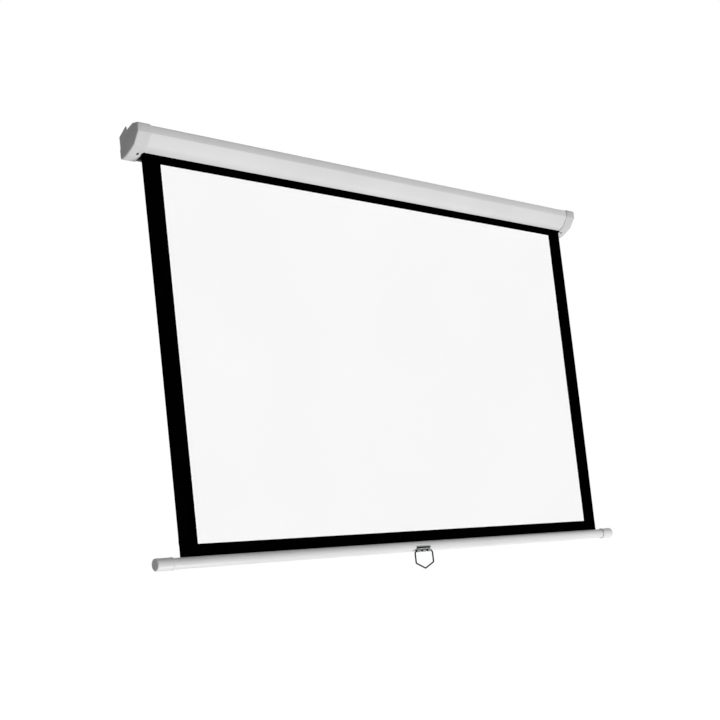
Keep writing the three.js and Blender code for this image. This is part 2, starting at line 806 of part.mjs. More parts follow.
const whiteSteel = finish(0xe4e5e6, 0.45);
const whitePlastic = finish(0xe0e1e2, 0.55);
const zincSteel = finish(0xb4b8bb, 0.4, 0.9);
const springSteel = finish(0x5a5d60, 0.4, 0.9);
const chrome = finish(0x8d9094, 0.15, 1);
const galvanised = finish(0xc2c5c6, 0.5, 0.7);
const acetal = finish(0x2b2c2e, 0.5);
const fabricWhite = finish(0xf6f6f6, 0.95);
const fabricBlack = finish(0x0a0a0b, 0.95);

// Assembly

function place(parent, name, body, material) {
  const mesh = body.getMesh();
  const geometry = new THREE.BufferGeometry();
  geometry.setAttribute("position", new THREE.Float32BufferAttribute(mesh.vertProperties, 3));
  geometry.setIndex(Array.from(mesh.triVerts));
  geometry.computeVertexNormals();
  const piece = new THREE.Mesh(geometry, material);
  piece.name = name;
  parent.add(piece);
  return piece;
}

// Adds a piece drawn from the left end's face, or its mirror image at the right end.
function placeAtEnd(parent, side, name, body, material, reach = halfLength) {
  const piece = place(parent, name, side < 0 ? body : mirrored(body), material);
  piece.position.x = side * reach;
  return piece;
}

// Turns a screw so that its head points along a [y, z] direction, and puts its seat at a place.
function placeScrew(parent, name, body, direction, x, [y, z]) {
  const piece = place(parent, name, body, zincSteel);
  piece.quaternion.setFromUnitVectors(
    new THREE.Vector3(1, 0, 0), new THREE.Vector3(0, direction[0], direction[1]));
  piece.position.set(x, y, z);
}

const screen = new THREE.Group();
screen.position.set(0, -fabricToWall, -slotToHangingLevel);

place(screen, "case_shell", makeCase(), whiteSteel);

const caseScrew = screw(screwRadius, screwHead, screwHeadHeight, screwLength);
const flatScrew = screw(screwRadius, screwHead, flatHeadHeight, screwLength);
const plateScrew = screw(screwRadius, screwHead, screwHeadHeight, plateScrewLength);
const spindleWindow = flattedRod(spindleBore, spindleFlat + 2 * seatGap, 0, capLength);
const bushWindow = rod(spindleBore + bushWall + seatGap, 0, capLength);
const ends = [
  { side: -1, end: "left", plate: "spring_end_plate", window: spindleWindow },
  { side: 1, end: "right", plate: "idler_end_plate", window: bushWindow },
];
for (const { side, end, plate, window } of ends) {
  placeAtEnd(screen, side, `${end}_end_cap`, makeEndCap(), whitePlastic);
  placeAtEnd(screen, side, `${end}_wall_bracket`, makeBracket(), whiteSteel);
  const atRoller = window.translate([0, rollerY, rollerRise]);
  placeAtEnd(screen, side, plate, makePlate(atRoller), galvanised);
  const seat = sum(capScrewPlace, outward(lowFacet), capFit + capWall - capRecess + seatGap);
  placeScrew(screen, `${end}_cap_screw`, caseScrew, outward(lowFacet),
    side * (halfLength - capScrewInset), seat);
  bracketScrewInsets.forEach((inset, i) => {
    const wallSeat = [fabricToWall - flatHeadHeight, -bracketScrewDrop];
    placeScrew(screen, `${end}_bracket_screw_${i + 1}`, flatScrew, [1, 0],
      side * (halfLength - inset), wallSeat);
  });
  plateScrewShares.forEach((shares, i) => {
    const piece = placeAtEnd(screen, side, `${end}_plate_screw_${i + 1}`, plateScrew, zincSteel);
    const [y, z] = casePlace(shares);
    piece.position.set(side * (halfLength - caseInset), y, z);
  });
}

const roller = new THREE.Group();
roller.position.set(0, rollerY, rollerRise);
screen.add(roller);
place(roller, "roller_tube", makeTube(), galvanised);
place(roller, "wound_fabric", makeWoundFabric(), fabricBlack);
placeAtEnd(roller, 1, "idler_plug", makeIdlerPlug(), acetal);
placeAtEnd(roller, 1, "idler_bush", makeBush(), acetal);

const springEnd = new THREE.Group();
springEnd.position.x = -tubeHalf;
roller.add(springEnd);
const hubMiddle = cupFloor - seatGap - hubLength / 2;
place(springEnd, "pawl_carrier", makePawlCarrier(), acetal);
place(springEnd, "pawl_cover", makeCover(), galvanised);
place(springEnd, "dead_spindle", makeSpindle(), zincSteel);
place(springEnd, "torsion_spring", makeSpring(), springSteel);
place(springEnd, "spring_anchor", makeAnchor(), zincSteel);
place(springEnd, "ratchet_hub", makeHub(), zincSteel).position.x = hubMiddle;
pinPlaces.forEach(({ angle, place: [y, z] }, i) => {
  const letter = ["a", "b"][i];
  place(springEnd, `pawl_pin_${letter}`, makePawlPin(), zincSteel).position.set(0, y, z);
  const pawl = place(springEnd, `pawl_${letter}`, makePawl(), zincSteel);
  pawl.position.set(hubMiddle, y, z);
  pawl.rotation.x = angle + Math.PI - liftedAngle;
});

place(screen, "screen_fabric", makeFabric(), fabricWhite);

const bar = new THREE.Group();
bar.position.z = -outerHeight;
screen.add(bar);
place(bar, "lower_band", makeBand(), fabricBlack);
place(bar, "hem_rod", rod(hemRodRadius, -fabricWidth / 2, fabricWidth / 2, screwSteps), zincSteel)
  .position.z = -hemDrop;
place(bar, "bottom_bar", makeBar(), whiteSteel);
placeAtEnd(bar, -1, "left_bar_cap", makeBarCap(), whitePlastic, barHalfLength);
placeAtEnd(bar, 1, "right_bar_cap", makeBarCap(), whitePlastic, barHalfLength);
place(bar, "ring_bracket", makeClip(), chrome);
const clipScrew = screw(clipScrewRadius, clipScrewHead, clipScrewHeadHeight, clipScrewLength);
for (const [side, end] of [[-1, "left"], [1, "right"]]) {
  const seat = sum(clipMiddle, clipOut, clipThickness + seatGap);
  placeScrew(bar, `ring_bracket_screw_${end}`, clipScrew, clipOut, (side * knucklePitch) / 2, seat);
}
place(bar, "pull_ring", makeRing(), chrome).position.set(0, ...ringAxis);

export default screen;
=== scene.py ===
import bpy
import json
import math
from mathutils import Matrix, Vector


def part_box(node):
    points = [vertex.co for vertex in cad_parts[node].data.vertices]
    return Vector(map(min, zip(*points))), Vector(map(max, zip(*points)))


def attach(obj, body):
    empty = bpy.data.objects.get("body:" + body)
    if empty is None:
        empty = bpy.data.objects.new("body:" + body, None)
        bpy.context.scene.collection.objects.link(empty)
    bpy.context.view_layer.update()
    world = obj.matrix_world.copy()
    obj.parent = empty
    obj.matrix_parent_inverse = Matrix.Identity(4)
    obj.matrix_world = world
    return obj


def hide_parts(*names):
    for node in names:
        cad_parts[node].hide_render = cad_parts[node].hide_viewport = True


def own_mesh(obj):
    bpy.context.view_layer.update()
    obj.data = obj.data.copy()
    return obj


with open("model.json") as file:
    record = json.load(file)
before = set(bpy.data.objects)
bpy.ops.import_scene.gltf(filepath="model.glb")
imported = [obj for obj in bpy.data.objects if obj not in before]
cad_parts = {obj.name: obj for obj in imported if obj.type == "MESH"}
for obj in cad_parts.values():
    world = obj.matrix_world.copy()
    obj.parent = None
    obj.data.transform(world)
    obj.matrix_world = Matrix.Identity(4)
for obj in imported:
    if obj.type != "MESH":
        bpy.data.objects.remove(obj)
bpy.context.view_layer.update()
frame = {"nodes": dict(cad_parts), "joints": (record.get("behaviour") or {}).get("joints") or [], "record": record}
cadNodes = frame["nodes"]
mm = 0.001
print("frame loaded")

# Camera: low, to the left and in front, looking up along the wall
cameraSettings = {
    "place": (-3.7586, -3.1211, -1.3085),
    "panDegrees": 48.844,  # from the way into the wall towards +X
    "tiltDegrees": 6.016,
    "rollDegrees": -6.319,
    "lensMm": 77.74,
    "shiftUp": 0.111,
}


def makeCamera(settings):
    pan, tilt, roll = [
        math.radians(settings[key]) for key in ("panDegrees", "tiltDegrees", "rollDegrees")
    ]
    ahead = Vector((
        math.sin(pan) * math.cos(tilt), math.cos(pan) * math.cos(tilt), math.sin(tilt)))
    level = Vector((math.cos(pan), -math.sin(pan), 0))
    upright = level.cross(ahead)
    right = level * math.cos(roll) + upright * math.sin(roll)
    up = upright * math.cos(roll) - level * math.sin(roll)
    bpy.ops.object.camera_add()
    camera = bpy.context.object
    camera.matrix_world = Matrix.Translation(settings["place"]) @ Matrix(
        (right, up, -ahead)).transposed().to_4x4()
    camera.data.lens = settings["lensMm"]
    camera.data.shift_y = settings["shiftUp"]
    bpy.context.scene.camera = camera


makeCamera(cameraSettings)
print("camera placed")


# Small helpers for materials

def toLinear(colour):
    # an sRGB hex value, by the standard's own curve
    channels = [int(colour[i:i + 2], 16) / 255 for i in (1, 3, 5)]
    return [c / 12.92 if c <= 0.04045 else ((c + 0.055) / 1.055) ** 2.4 for c in channels] + [1]


def addNode(tree, kind, inputs=None, **settings):
    node = tree.nodes.new(kind)
    for key, value in settings.items():
        setattr(node, key, value)
    for key, value in (inputs or {}).items():
        if isinstance(value, bpy.types.NodeSocket):
            tree.links.new(value, node.inputs[key])
        else:
            node.inputs[key].default_value = value
    return node


def startMaterial(name, colour, roughness, metallic=0.0, specular=0.5):
    material = bpy.data.materials.new(name)
    material.use_nodes = True
    tree = material.node_tree
    shader = tree.nodes["Principled BSDF"]
    shader.inputs["Base Color"].default_value = toLinear(colour)
    shader.inputs["Roughness"].default_value = roughness
    shader.inputs["Metallic"].default_value = metallic
    shader.inputs["Specular IOR Level"].default_value = specular
    place = addNode(tree, "ShaderNodeTexCoord").outputs["Object"]
    return material, tree, shader, place


noiseLow, noiseHigh = 0.3, 0.7  # nearly all values of a noise texture lie between these


def mottle(tree, shader, place, sizeMm, dark, light, detail=2.0):
    # a slow change of tone over the surface, between two near colours
    noise = addNode(tree, "ShaderNodeTexNoise", {
        "Vector": place, "Scale": 1 / (sizeMm * mm), "Detail": detail})
    ramp = addNode(tree, "ShaderNodeValToRGB", {"Fac": noise.outputs["Fac"]})
    ramp.color_ramp.elements[0].color = toLinear(dark)
    ramp.color_ramp.elements[0].position = noiseLow
    ramp.color_ramp.elements[1].color = toLinear(light)
    ramp.color_ramp.elements[1].position = noiseHigh
    tree.links.new(ramp.outputs["Color"], shader.inputs["Base Color"])
    return noise


def grain(tree, shader, place, sizeMm, depthMm, detail=2.0):
    # a fine relief whose bumps are sizeMm apart and depthMm deep
    noise = addNode(tree, "ShaderNodeTexNoise", {
        "Vector": place, "Scale": 1 / (sizeMm * mm), "Detail": detail})
    bump = addNode(tree, "ShaderNodeBump", {
        "Height": noise.outputs["Fac"], "Strength": 1.0, "Distance": depthMm * mm})
    tree.links.new(bump.outputs["Normal"], shader.inputs["Normal"])
    return noise


def roughnessFrom(tree, shader, source, low, high):
    # the roughness goes from low to high with a pattern's values
    spread = addNode(tree, "ShaderNodeMapRange", {
        "Value": source, "From Min": noiseLow, "From Max": noiseHigh,
        "To Min": low, "To Max": high})
    tree.links.new(spread.outputs["Result"], shader.inputs["Roughness"])


bandsPerUnit = 3.183  # what the wave texture draws in one unit at a scale of 1


def weave(tree, shader, place, pitchMm, depthMm):
    # plain weave: two sets of threads, across and down
    waves = [
        addNode(tree, "ShaderNodeTexWave", {
            "Vector": place, "Scale": 1 / (pitchMm * mm) / bandsPerUnit, "Distortion": 0.4,
        }, wave_type="BANDS", bands_direction=axis)
        for axis in ("X", "Z")
    ]
    threads = addNode(tree, "ShaderNodeMath", {
        0: waves[0].outputs["Fac"], 1: waves[1].outputs["Fac"]}, operation="MAXIMUM")
    bump = addNode(tree, "ShaderNodeBump", {
        "Height": threads.outputs["Value"], "Strength": 0.6, "Distance": depthMm * mm})
    tree.links.new(bump.outputs["Normal"], shader.inputs["Normal"])


# Materials

def makePowderCoat(name, colour, dark, light, low, high, specular):
    # polyester powder coat, baked: satin, with a shallow orange peel about 1.5 mm across
    material, tree, shader, place = startMaterial(
        name, colour, roughness=(low + high) / 2, specular=specular)
    slow = mottle(tree, shader, place, sizeMm=260, dark=dark, light=light)
    roughnessFrom(tree, shader, slow.outputs["Fac"], low, high)
    grain(tree, shader, place, sizeMm=1.5, depthMm=0.03)
    return material


def makeMouldedAbs():
    # ABS from a spark eroded mould: matt, with a fine even grain drawn at 0.8 mm so that it shows
    material, tree, shader, place = startMaterial(
        "moulded abs", "#b6b6b7", roughness=0.5, specular=0.3)
    mottle(tree, shader, place, sizeMm=90, dark="#b4b4b5", light="#b8b8b9")
    fine = grain(tree, shader, place, sizeMm=0.8, depthMm=0.04, detail=3.0)
    roughnessFrom(tree, shader, fine.outputs["Fac"], low=0.46, high=0.58)
    return material


def makeZincPlate():
    # bright zinc plate on steel: faintly blue and yellow, a little streaky from the bath
    material, tree, shader, place = startMaterial(
        "bright zinc plate", "#b9bcbf", roughness=0.32, metallic=1.0)
    film = mottle(tree, shader, place, sizeMm=3, dark="#b3b8bd", light="#c0bfb6", detail=3.0)
    roughnessFrom(tree, shader, film.outputs["Fac"], low=0.26, high=0.4)
    return material


def makeShadedPhosphate():
    # phosphated and oiled screw steel: dark grey, with a dull sheen; drawn darker than phosphate alone, as painted
    # shade of the cap screws' recesses
    material, tree, shader, place = startMaterial(
        "phosphated steel with painted recess shade", "#2b2c2e", roughness=0.45, metallic=0.85)
    film = mottle(tree, shader, place, sizeMm=2, dark="#262729", light="#323335")
    roughnessFrom(tree, shader, film.outputs["Fac"], low=0.4, high=0.55)
    return material


def makeGalvanised():
    # hot dip galvanised sheet: flat crystals about 8 mm across, each with its own grey and gloss
    crystalMm = 8
    material, tree, shader, place = startMaterial(
        "galvanised sheet", "#aeb3b6", roughness=0.45, metallic=0.9)
    cells = addNode(tree, "ShaderNodeTexVoronoi", {
        "Vector": place, "Scale": 1 / (crystalMm * mm)})
    tone = addNode(tree, "ShaderNodeSeparateColor", {"Color": cells.outputs["Color"]})
    ramp = addNode(tree, "ShaderNodeValToRGB", {"Fac": tone.outputs["Red"]})
    ramp.color_ramp.elements[0].color = toLinear("#a2a8ac")
    ramp.color_ramp.elements[1].color = toLinear("#bbc0c2")
    tree.links.new(ramp.outputs["Color"], shader.inputs["Base Color"])
    roughnessFrom(tree, shader, tone.outputs["Green"], low=0.38, high=0.52)
    return material


def makeSpringWire():
    # drawn spring wire, oil blackened: dark with a satin gloss
    material, tree, shader, place = startMaterial(
        "oiled spring wire", "#4a4d50", roughness=0.35, metallic=0.95)
    film = mottle(tree, shader, place, sizeMm=4, dark="#434649", light="#55585a")
    roughnessFrom(tree, shader, film.outputs["Fac"], low=0.28, high=0.42)
    return material


def makeChrome(name, colour, dark, light, low, high):
    # chrome on steel: a mirror, clouded a little where the plate is thin
    material, tree, shader, place = startMaterial(
        name, colour, roughness=(low + high) / 2, metallic=1.0)
    film = mottle(tree, shader, place, sizeMm=6, dark=dark, light=light)
    roughnessFrom(tree, shader, film.outputs["Fac"], low, high)
    return material


def makeAcetal():
    # black acetal, moulded: slightly waxy
    material, tree, shader, place = startMaterial("moulded acetal", "#232426", roughness=0.42)
    fine = grain(tree, shader, place, sizeMm=1.2, depthMm=0.02)
    roughnessFrom(tree, shader, fine.outputs["Fac"], low=0.38, high=0.5)
    return material


def makeScreenWhite():
    # matt white PVC film on woven glass: no gloss, threads 0.5 mm apart drawn at 1.5 mm
    material, tree, shader, place = startMaterial(
        "matt white screen film", "#fafafa", roughness=0.95, specular=0.2)
    mottle(tree, shader, place, sizeMm=420, dark="#f9f9f9", light="#fbfbfb")
    weave(tree, shader, place, pitchMm=1.5, depthMm=0.02)
    return material


def makeBorderBlack():
    # black printed on the film's front, dead matt so that it swallows stray light
    material, tree, shader, place = startMaterial(
        "black border print", "#010101", roughness=1.0, specular=0)
    mottle(tree, shader, place, sizeMm=60, dark="#000000", light="#020202")
    weave(tree, shader, place, pitchMm=1.5, depthMm=0.02)
    return material


def makeBackBlack():
    # black PVC coat on the woven glass behind: matt, its threads show more than in front
    material, tree, shader, place = startMaterial(
        "black woven backing", "#2c2c2e", roughness=0.9, specular=0.2)
    mottle(tree, shader, place, sizeMm=60, dark="#29292b", light="#303032")
    weave(tree, shader, place, pitchMm=1.2, depthMm=0.05)
    return material


powderCoat = makePowderCoat(
    "powder coated steel", "#c0c0c0", dark="#bebebe", light="#c3c3c3",
    low=0.36, high=0.45, specular=0.25)
barCoat = makePowderCoat(
    "powder coated bar", "#cfcfd0", dark="#cdcdce", light="#d2d2d3",
    low=0.3, high=0.38, specular=0.3)
mouldedAbs = makeMouldedAbs()
zincPlate = makeZincPlate()
phosphateRecessShade = makeShadedPhosphate()
galvanised = makeGalvanised()
springWire = makeSpringWire()
# black chrome: its dark tone is partly the finish and partly painted reflection of dark surroundings; on the ring
# bracket's rolled edge it is painted reflection and painted shade
paintedReflectionChrome = makeChrome(
    "black chrome with painted dark reflection", "#28292b", dark="#252628", light="#2d2f31", low=0.1, high=0.2)
plateChrome = makeChrome(
    "chrome plated sheet", "#8f9294", dark="#898c8e", light="#989b9d", low=0.16, high=0.26)
acetal = makeAcetal()
screenWhite = makeScreenWhite()
borderBlack = makeBorderBlack()
backBlack = makeBackBlack()
print("materials made")

slotMaterials = {
    "white_coated_steel": powderCoat,
    "white_plastic": mouldedAbs,
    "zinc_steel": zincPlate,
    "spring_steel": springWire,
    "galvanised_steel": galvanised,
    "chrome": plateChrome,
    "black_acetal": acetal,
    "white_screen_fabric": screenWhite,
    "black_screen_fabric": backBlack,
}
slotOf = {part["node"]: part["material_slot"] for part in frame["record"]["subparts"]}
bodyOf = {
    node: body
    for body, nodes in frame["record"]["behaviour"]["bodies"].items() for node in nodes
}


# Helpers for modelling

def corners(box):
    return [Vector(corner) for corner in box]


def deselectAll():
    bpy.ops.object.select_all(action="DESELECT")


def activate(piece):
    deselectAll()
    piece.select_set(True)
    bpy.context.view_layer.objects.active = piece


def settle(piece):
    # moves the place of a finished piece into its mesh
    activate(piece)
    bpy.ops.object.transform_apply(location=True, rotation=True, scale=True)


def applyAll(piece):
    activate(piece)
    for modifier in list(piece.modifiers):
        bpy.ops.object.modifier_apply(modifier=modifier.name)


def smoothed(piece, degrees=35):
    activate(piece)
    bpy.ops.object.shade_smooth_by_angle(angle=math.radians(degrees), keep_sharp_edges=False)


weldMm = 0.001  # points of a new piece that are nearer than this become one


def closeShell(fillEnds=False):
    # merges doubles, turns the faces outwards and leaves edit mode
    bpy.ops.mesh.select_all(action="SELECT")
    bpy.ops.mesh.remove_doubles(threshold=weldMm * mm)
    if fillEnds:
        bpy.ops.mesh.fill_holes(sides=0)
    bpy.ops.mesh.normals_make_consistent(inside=False)
    bpy.ops.object.mode_set(mode="OBJECT")


def thicken(sheet, thicknessMm):
    # gives a flat sheet its film's thickness, half to each side
    film = sheet.modifiers.new("film", "SOLIDIFY")
    film.thickness = thicknessMm * mm
    film.offset = 0
    applyAll(sheet)


def wearing(piece, *materials):
    piece.data.materials.clear()
    for material in materials:
        piece.data.materials.append(material)


def standFor(piece, node):
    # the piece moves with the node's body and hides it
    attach(piece, bodyOf[node])
    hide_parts(node)


# Screen fabric: one sheet, white in front with black borders, black behind
screenFabric = {
    "sideBorderMm": 68,
    "topBorderMm": 24,
    "slotBelowOriginMm": 30,
    "thicknessMm": 0.4,
    "columns": 48,
    "rows": 36,
    "waveMm": 0.3,  # how far the sheet swings in and out of its plane
    "waveAcross": (9, 0.6),  # radians per metre, and where the wave starts
    "waveDown": (4, 0.3),
    "edgeCurlMm": 1.6,  # how far the free side edges curl to the front
    "edgeCurlWidthMm": 90,
    "frontNormalY": -0.5,  # a face that looks further forward than this is in front
    "keepWound": 0.0183,  # what is left of its height with the screen up
}


def cutAcross(x=None, z=None):
    # cuts the sheet in edit mode along a line of constant x or z
    bpy.ops.mesh.select_all(action="SELECT")
    if x is not None:
        bpy.ops.mesh.bisect(plane_co=(x, 0, 0), plane_no=(1, 0, 0))
    if z is not None:
        bpy.ops.mesh.bisect(plane_co=(0, 0, z), plane_no=(0, 0, 1))


def makeScreenFabric(settings):
    low, high = corners(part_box("screen_fabric"))
    middle = (low + high) / 2
    width, height = high.x - low.x, high.z - low.z
    deselectAll()
    bpy.ops.mesh.primitive_grid_add(
        x_subdivisions=settings["columns"], y_subdivisions=settings["rows"], size=1,
        location=middle, rotation=(math.pi / 2, 0, 0))
    sheet = bpy.context.object
    sheet.name = "screen_sheet"
    sheet.scale = (width, height, 1)
    settle(sheet)
    whiteSide = high.x - settings["sideBorderMm"] * mm
    whiteTop = -(settings["slotBelowOriginMm"] + settings["topBorderMm"]) * mm
    bpy.ops.object.mode_set(mode="EDIT")
    cutAcross(x=whiteSide)
    cutAcross(x=-whiteSide)
    cutAcross(z=whiteTop)
    bpy.ops.object.mode_set(mode="OBJECT")
    curlWidth = settings["edgeCurlWidthMm"] * mm
    acrossRate, acrossStart = settings["waveAcross"]
    downRate, downStart = settings["waveDown"]
    for vertex in sheet.data.vertices:
        x, z = vertex.co.x, vertex.co.z
        free = math.sin(math.pi * min(1, max(0, (high.z - z) / height)))
        wave = math.sin(acrossRate * x + acrossStart) * math.sin(downRate * z + downStart)
        edge = max(0, 1 - (high.x - abs(x)) / curlWidth) ** 2
        vertex.co.y += free * mm * (settings["waveMm"] * wave - settings["edgeCurlMm"] * edge)
    wearing(sheet, screenWhite, borderBlack, backBlack)
    white, border, back = range(3)
    thicken(sheet, settings["thicknessMm"])
    for face in sheet.data.polygons:
        inside = abs(face.center.x) < whiteSide and face.center.z < whiteTop
        front = face.normal.y < settings["frontNormalY"]
        face.material_index = back if not front else white if inside else border
    smoothed(sheet)
    standFor(sheet, "screen_fabric")
    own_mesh(sheet)


makeScreenFabric(screenFabric)

# Turns of fabric left on the roller: a spiral whose outer face is the black back
fabricRoll = {
    "turns": 2,
    "startRadiusMm": 13.35,
    "endRadiusMm": 13.9,
    "thicknessMm": 0.25,
    "stepsPerTurn": 48,
    "columns": 2,
    "smoothDegrees": 60,
}


def extrudedPath(name, path, fromX, toX, columns):
    # a sheet along X through points of y and z
    deselectAll()
    bpy.ops.mesh.primitive_grid_add(x_subdivisions=columns, y_subdivisions=len(path) - 1, size=1)
    sheet = bpy.context.object
    sheet.name = name
    for vertex in sheet.data.vertices:
        across, along = vertex.co.x + 0.5, vertex.co.y + 0.5  # each from 0 to 1
        y, z = path[round(along * (len(path) - 1))]
        vertex.co = (fromX + across * (toX - fromX), y, z)
    return sheet


def makeFabricRoll(settings):
    low, high = corners(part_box("wound_fabric"))
    axisY, axisZ = (low.y + high.y) / 2, (low.z + high.z) / 2
    steps = settings["turns"] * settings["stepsPerTurn"]
    path = []
    for k in range(steps + 1):
        share = k / steps
        radius = settings["startRadiusMm"] + share * (
            settings["endRadiusMm"] - settings["startRadiusMm"])
        angle = 2 * math.pi * settings["turns"] * (1 - share)
        path.append((
            axisY + radius * mm * math.cos(angle), axisZ + radius * mm * math.sin(angle)))
    roll = extrudedPath("fabric_roll", path, low.x, high.x, settings["columns"])
    wearing(roll, backBlack)
    thicken(roll, settings["thicknessMm"])
    smoothed(roll, settings["smoothDegrees"])
    standFor(roll, "wound_fabric")


makeFabricRoll(fabricRoll)

# Black band: welded behind the sheet's foot, down through the bar's slot and round the hem rod
lowerBand = {
    "lapMm": 12,
    "lapFootMm": 0.5,  # the lap ends this far above the sheet's foot
    "stepMm": 3,  # and the band is back in the sheet's plane this far below it
    "behindMm": 0.75,  # the lap's place behind the sheet's middle
    "layerGapMm": 0.35,  # from one layer's middle to the other's, above the rod
    "tailMm": 16,  # how far the free end reaches above the loop
    "rodGapMm": 0.3,
    "thicknessMm": 0.35,
    "loopSteps": 20,
    "columns": 24,
    "smoothDegrees": 50,
}


def makeLowerBand(settings):
    low, high = corners(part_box("lower_band"))
    rodLow, rodHigh = corners(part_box("hem_rod"))
    planeY = (low.y + high.y) / 2
    rodZ = (rodLow.z + rodHigh.z) / 2
    radius = (rodHigh.z - rodLow.z) / 2 + (settings["rodGapMm"] + settings["thicknessMm"] / 2) * mm
    halfGap = settings["layerGapMm"] / 2 * mm
    lap = planeY + settings["behindMm"] * mm
    path = [
        (lap, high.z + settings["lapMm"] * mm),
        (lap, high.z + settings["lapFootMm"] * mm),
        (planeY - halfGap, high.z - settings["stepMm"] * mm),
    ]
    neck = math.asin(halfGap / radius)
    for k in range(settings["loopSteps"] + 1):
        angle = math.pi / 2 + neck + (2 * math.pi - 2 * neck) * k / settings["loopSteps"]
        path.append((planeY + radius * math.cos(angle), rodZ + radius * math.sin(angle)))
    path.append((planeY + halfGap, rodZ + radius + settings["tailMm"] * mm))
    band = extrudedPath("lower_band_sheet", path, low.x, high.x, settings["columns"])
    wearing(band, borderBlack)
    thicken(band, settings["thicknessMm"])
    smoothed(band, settings["smoothDegrees"])
    standFor(band, "lower_band")


makeLowerBand(lowerBand)
print("fabric made")

# Pull ring: one wire bent by its corners, whose ends meet in the bracket's middle knuckle
pullRing = {
    "wireRadiusMm": 2.4,
    "legShare": 0.68,  # where the legs end, down the ring
    "shoulderMm": 6,  # how far the upper corners are cut off
    "bendRadiusMm": 4,
    "jointMm": 0.6,  # between the wire's two ends
    "sides": 24,
    "bendStepDegrees": 7.5,
}


def bentWire(name, route, wireRadius, bendRadius, sides, stepDegrees):
    # a wire through the route's corners, each with a bend of the same radius
    ways = [(b - a).normalized() for a, b in zip(route, route[1:])]
    deselectAll()
    bpy.ops.mesh.primitive_circle_add(
        vertices=sides, radius=wireRadius, fill_type="NGON", location=route[0],
        rotation=ways[0].to_track_quat("Z", "Y").to_euler())
    wire = bpy.context.object
    wire.name = name
    settle(wire)
    bpy.ops.object.mode_set(mode="EDIT")
    bpy.ops.mesh.select_all(action="SELECT")
    place = route[0]
    for corner, before, after in zip(route[1:], ways, ways[1:]):
        turn = before.angle(after)
        bendStart = corner - before * bendRadius * math.tan(turn / 2)
        axis = before.cross(after).normalized()
        middle = bendStart + axis.cross(before) * bendRadius
        bpy.ops.mesh.extrude_region_move(TRANSFORM_OT_translate={"value": bendStart - place})
        bpy.ops.mesh.spin(
            steps=math.ceil(math.degrees(turn) / stepDegrees), angle=turn,
            center=middle, axis=-axis)  # spin turns clockwise about its axis
        place = corner + after * bendRadius * math.tan(turn / 2)
    bpy.ops.mesh.extrude_region_move(TRANSFORM_OT_translate={"value": route[-1] - place})
    closeShell()
    return wire


def makePullRing(settings):
    low, high = corners(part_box("pull_ring"))
    axis = next(Vector(j["pos_m"]) for j in frame["joints"] if j["name"] == "ring_swing")
    wire, shoulder = settings["wireRadiusMm"] * mm, settings["shoulderMm"] * mm
    half = (high.x - low.x) / 2 - wire
    foot = axis.z - low.z - wire
    legs = foot * settings["legShare"]
    right = [(half - shoulder, 0), (half, -shoulder), (half, -legs)]
    left = [(-x, z) for x, z in reversed(right)]
    joint = settings["jointMm"] * mm / 2
    outline = [(joint, 0), *right, (0, -foot), *left, (-joint, 0)]
    ring = bentWire(
        "bent_ring", [axis + Vector((x, 0, z)) for x, z in outline], wire,
        settings["bendRadiusMm"] * mm, settings["sides"], settings["bendStepDegrees"])
    smoothed(ring)
    # the ring wire's dark chrome is partly painted reflection
    wearing(ring, paintedReflectionChrome)
    standFor(ring, "pull_ring")


makePullRing(pullRing)

# Torsion spring inside the tube: a wire section wound along the roller
torsionSpring = {
    "wireRadiusMm": 0.8,
    "coilRadiusMm": 7.6,
    "turns": 19,
    "sides": 10,
    "stepsPerTurn": 28,
    "smoothDegrees": 50,
}


def makeTorsionSpring(settings):
    low, high = corners(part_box("torsion_spring"))
    wire = settings["wireRadiusMm"] * mm
    deselectAll()
    bpy.ops.mesh.primitive_circle_add(
        vertices=settings["sides"], radius=wire, fill_type="NGON",
        location=(0, settings["coilRadiusMm"] * mm, 0), rotation=(0, math.pi / 2, 0))
    spring = bpy.context.object
    spring.name = "wound_spring"
    settle(spring)
    winding = spring.modifiers.new("winding", "SCREW")
    winding.axis = "Z"
    winding.angle = 2 * math.pi
    winding.iterations = settings["turns"]
    winding.screw_offset = (high.x - low.x - 2 * wire) / settings["turns"]
    winding.steps = winding.render_steps = settings["stepsPerTurn"]
    applyAll(spring)
    bpy.ops.object.mode_set(mode="EDIT")
    closeShell(fillEnds=True)
    middle = (low + high) / 2
    spring.rotation_euler = (0, math.pi / 2, 0)
    spring.location = (low.x + wire, middle.y, middle.z)
    settle(spring)
    smoothed(spring, settings["smoothDegrees"])
    wearing(spring, springWire)
    standFor(spring, "torsion_spring")


makeTorsionSpring(torsionSpring)
print("wire pieces bent")

# Screws with cross recesses: each kind is modelled once and copied to its seats.
# A dome's share is the part of the head's height that is rounded
screwKinds = {
    "self_tapper": {
        "shankRadiusMm": 1.7, "lengthMm": 9, "headRadiusMm": 3.6, "headHeightMm": 1.9,
        # the cap screws' dark finish is partly painted shade of their recesses
        "domeShare": 0.75, "finish": phosphateRecessShade,
        "nodes": [f"{end}_cap_screw" for end in ("left", "right")]},
    "plate_screw": {
        "shankRadiusMm": 1.7, "lengthMm": 5, "headRadiusMm": 3.6, "headHeightMm": 1.9,
        "domeShare": 0.75, "finish": zincPlate,
        "nodes": [f"{end}_plate_screw_{i}" for end in ("left", "right") for i in (1, 2)]},
    "low_head_screw": {
        "shankRadiusMm": 1.7, "lengthMm": 9, "headRadiusMm": 3.6, "headHeightMm": 1.1,
        "domeShare": 0.3, "finish": zincPlate,
        "nodes": [f"{end}_bracket_screw_{i}" for end in ("left", "right") for i in (1, 2)]},
    "hinge_screw": {
        "shankRadiusMm": 1.3, "lengthMm": 7, "headRadiusMm": 2.4, "headHeightMm": 1.2,
        "domeShare": 0.75, "finish": zincPlate,
        "nodes": [f"ring_bracket_screw_{end}" for end in ("left", "right")]},
}
